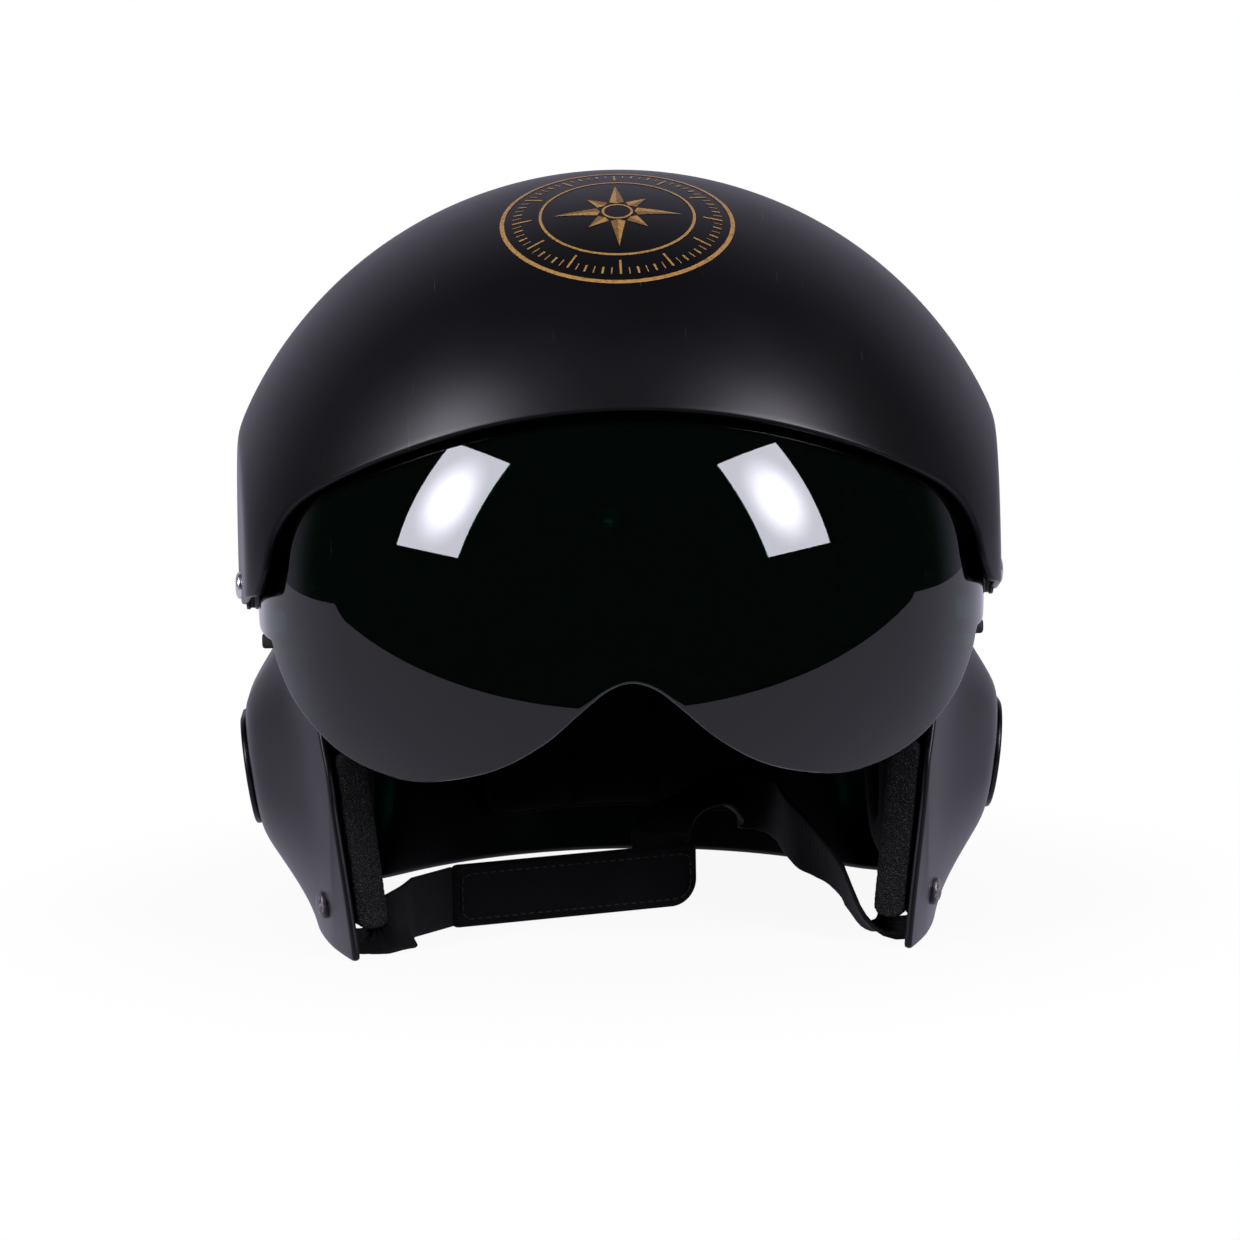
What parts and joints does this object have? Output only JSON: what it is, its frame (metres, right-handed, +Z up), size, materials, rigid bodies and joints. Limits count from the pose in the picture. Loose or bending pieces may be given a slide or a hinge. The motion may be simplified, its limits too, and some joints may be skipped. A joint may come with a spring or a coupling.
{
  "type": "pilot flight helmet",
  "caption": "Pilot flight helmet with a domed visor cover over an inner shell, a tinted visor that swings up into the cover, ear bulges, pads and a chin strap.",
  "frame": {"origin": "on the plane of the lower rim, under the middle of the whole helmet with its visor lowered", "axes": "+Z up through the crown, -Y forward out of the face opening, +X towards the wearer's left"},
  "size_m": [0.258, 0.265, 0.247],
  "materials": {
    "shell_black": "satin moulded",
    "visor_tint": "dark green tinted, glossy",
    "nylon": "plain",
    "steel": "bright",
    "rivet_grey": "dull grey",
    "rubber_black": "matte",
    "foam_grey": "open foam, fuzzy",
    "pad_black": "soft cloth over foam",
    "webbing_black": "woven webbing",
    "gold_print": "printed film"
  },
  "bodies": {
    "shell": {"visor_cover": "shell_black", "helmet_shell": "shell_black", "outer_friction_washers": "nylon", "inner_friction_washers": "nylon", "pivot_bushes": "steel", "pivot_screws": "steel", "nut_washers": "steel", "pivot_nuts": "steel", "visor_stops": "rubber_black", "rear_spacer": "nylon", "rear_screw": "steel", "rear_nut": "steel", "cover_foam_blocks": "foam_grey", "right_ear_cap": "shell_black", "left_ear_cap": "shell_black", "crest_decal": "gold_print", "strap_rivets": "rivet_grey", "rivet_washers": "steel", "chin_band": "webbing_black", "right_chin_strap": "webbing_black", "left_chin_strap": "webbing_black", "brow_pad": "pad_black", "crown_pad": "pad_black", "rear_pad": "pad_black", "nape_pad": "pad_black", "right_temple_pad": "pad_black", "left_temple_pad": "pad_black", "right_ear_pad": "pad_black", "left_ear_pad": "pad_black", "right_cheek_pad": "foam_grey", "left_cheek_pad": "foam_grey"},
    "visor": {"visor": "visor_tint"}
  },
  "joints": [
    {"name": "visor_pivot", "type": "hinge", "parent": "shell", "child": "visor", "pos_m": [0, -0.017, 0.113], "axis": [-1, 0, 0], "range_deg": [0, 58]}
  ]
}
